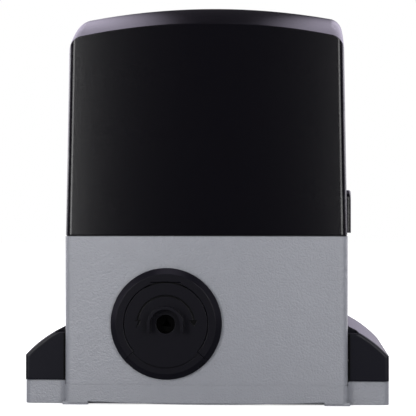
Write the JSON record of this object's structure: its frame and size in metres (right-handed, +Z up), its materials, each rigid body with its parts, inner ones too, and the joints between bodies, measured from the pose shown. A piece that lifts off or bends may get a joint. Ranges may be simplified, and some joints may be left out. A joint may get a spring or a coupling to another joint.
{
  "type": "sliding gate motor",
  "caption": "Sliding gate motor: a grey cast base with bolt-down feet and a black lift-off hood, a keyed release on the front, and a worm gear drive that turns a rack pinion at the back.",
  "frame": {"origin": "on the ground, in the middle of the four foundation slots", "axes": "X across the front, -Y out of the release handle's face, +Y towards the gate, Z up"},
  "size_m": [0.31, 0.2735, 0.3465],
  "materials": {
    "grey_casting": "cast aluminium, fine orange-peel polyester powder coat, matt",
    "black_hood": "moulded ABS, near black, fine satin-gloss skin",
    "black_foot_plastic": "moulded ABS, near black",
    "black_release_plastic": "moulded glass-filled nylon, satin black",
    "black_rubber": "moulded EPDM rubber",
    "zinc_steel": "bright zinc plate",
    "lock_metal": "die-cast zinc, black",
    "ground_steel": "ground steel",
    "spring_steel": "spring steel",
    "pinion_steel": "hobbed steel, light oil",
    "wheel_bronze": "hobbed bronze",
    "bearing_steel": "ground bearing steel with shields",
    "black_oxide": "black oxide finish on a turned steel pin",
    "raw_casting": "raw die-cast aluminium",
    "lamination_steel": "stacked silicon-steel laminations",
    "enamel_copper": "enamelled copper wire, laced",
    "coil_tape": "polyester tape over copper",
    "nylon_black": "moulded nylon",
    "board_green": "solder resist over glass laminate",
    "button_plastic": "moulded plastic plunger",
    "relay_case": "moulded relay case",
    "terminal_green": "moulded polyamide",
    "fuse_glass": "clipped fuse, pale body",
    "capacitor_case": "moulded polypropylene can",
    "clamp_steel": "zinc-plated strip",
    "switch_case": "moulded phenolic"
  },
  "bodies": {
    "base": {"base_housing": "grey_casting", "release_bezel": "black_release_plastic", "cover_gasket": "black_rubber", "cable_grommet": "black_rubber", "shaft_seal": "black_rubber", "bezel_screws": "zinc_steel", "gear_housing_screws": "zinc_steel", "gearcase_cover_screws": "zinc_steel", "motor_bell_screws": "zinc_steel", "tray_screws": "zinc_steel", "motor_tie_bolts": "zinc_steel", "front_bearing": "bearing_steel", "rear_bearing": "bearing_steel", "worm_bearing": "bearing_steel", "middle_bearing": "bearing_steel", "upper_bearing": "bearing_steel", "handle_pin": "black_oxide", "gear_housing": "raw_casting", "gearcase_cover": "raw_casting", "motor_lower_bell": "raw_casting", "motor_upper_bell": "raw_casting", "stator_core": "lamination_steel", "transformer_core": "lamination_steel", "stator_windings": "enamel_copper", "transformer_coil": "coil_tape", "component_tray": "nylon_black", "board_carrier": "nylon_black", "limit_switch_box": "nylon_black", "encoder_sensor": "nylon_black", "control_board": "board_green", "receiver_module": "board_green", "relays": "relay_case", "terminal_blocks": "terminal_green", "fuse_holder": "fuse_glass", "motor_capacitor": "capacitor_case", "capacitor_clamp": "clamp_steel", "micro_switches": "switch_case"},
    "top_cover": {"top_cover": "black_hood", "cover_screws": "zinc_steel", "cover_nuts": "zinc_steel"},
    "foot_cover_left": {"foot_cover_left": "black_foot_plastic"},
    "foot_cover_right": {"foot_cover_right": "black_foot_plastic"},
    "release_handle": {"release_handle": "black_release_plastic"},
    "key_barrel": {"key_barrel": "lock_metal"},
    "release_rod": {"release_rod": "ground_steel"},
    "clutch_ring": {"clutch_ring": "ground_steel"},
    "output_shaft": {"output_shaft": "ground_steel", "worm_wheel": "wheel_bronze", "clutch_spring": "spring_steel", "pinion": "pinion_steel", "pinion_key": "ground_steel", "pinion_washer": "zinc_steel", "pinion_bolt": "zinc_steel"},
    "rotor": {"rotor_shaft": "ground_steel", "rotor_core": "lamination_steel", "encoder_wheel": "nylon_black"},
    "limit_lever": {"limit_lever": "nylon_black", "spring_feeler": "spring_steel"},
    "learn_button": {"learn_button": "button_plastic"},
    "menu_button": {"menu_button": "button_plastic"}
  },
  "joints": [
    {"name": "cover_lift", "type": "slide", "parent": "base", "child": "top_cover", "axis": [0, 0, 1], "range_m": [0, 0.22]},
    {"name": "foot_cover_left_lift", "type": "slide", "parent": "base", "child": "foot_cover_left", "axis": [0, 0, 1], "range_m": [0, 0.06]},
    {"name": "foot_cover_right_lift", "type": "slide", "parent": "base", "child": "foot_cover_right", "axis": [0, 0, 1], "range_m": [0, 0.06]},
    {"name": "handle_swing", "type": "hinge", "parent": "base", "child": "release_handle", "pos_m": [-0.0334, -0.1089, 0.1031], "axis": [-1, 0, 0], "range_deg": [0, 75]},
    {"name": "key_turn", "type": "hinge", "parent": "release_handle", "child": "key_barrel", "pos_m": [-0.0334, -0.1, 0.069], "axis": [0, 1, 0], "range_deg": [0, 90]},
    {"name": "rod_push", "type": "slide", "parent": "base", "child": "release_rod", "axis": [0, 1, 0], "range_m": [0, 0.005]},
    {"name": "output_turn", "type": "hinge", "parent": "base", "child": "output_shaft", "pos_m": [-0.0334, 0.05, 0.069], "axis": [0, 1, 0], "continuous": true},
    {"name": "clutch_slide", "type": "slide", "parent": "output_shaft", "child": "clutch_ring", "axis": [0, 1, 0], "range_m": [0, 0.005]},
    {"name": "rotor_turn", "type": "hinge", "parent": "base", "child": "rotor", "pos_m": [0.0166, 0.01, 0.2], "axis": [0, 0, 1], "continuous": true},
    {"name": "limit_swing", "type": "hinge", "parent": "base", "child": "limit_lever", "pos_m": [-0.064, 0.08, 0.151], "axis": [0, 0, 1], "range_deg": [-30, 30], "stiffness_Nm_per_rad": 0.05},
    {"name": "learn_press", "type": "slide", "parent": "base", "child": "learn_button", "axis": [0, 1, 0], "range_m": [0, 0.0004], "stiffness_N_per_m": 400},
    {"name": "menu_press", "type": "slide", "parent": "base", "child": "menu_button", "axis": [0, 1, 0], "range_m": [0, 0.0004], "stiffness_N_per_m": 400}
  ],
  "couplings": [
    {"joint": "rotor_turn", "follows": "output_turn", "ratio": 30},
    {"joint": "rod_push", "follows": "clutch_slide", "ratio": 1},
    {"joint": "key_turn", "follows": "clutch_slide", "rad_per_m": 314.16}
  ]
}
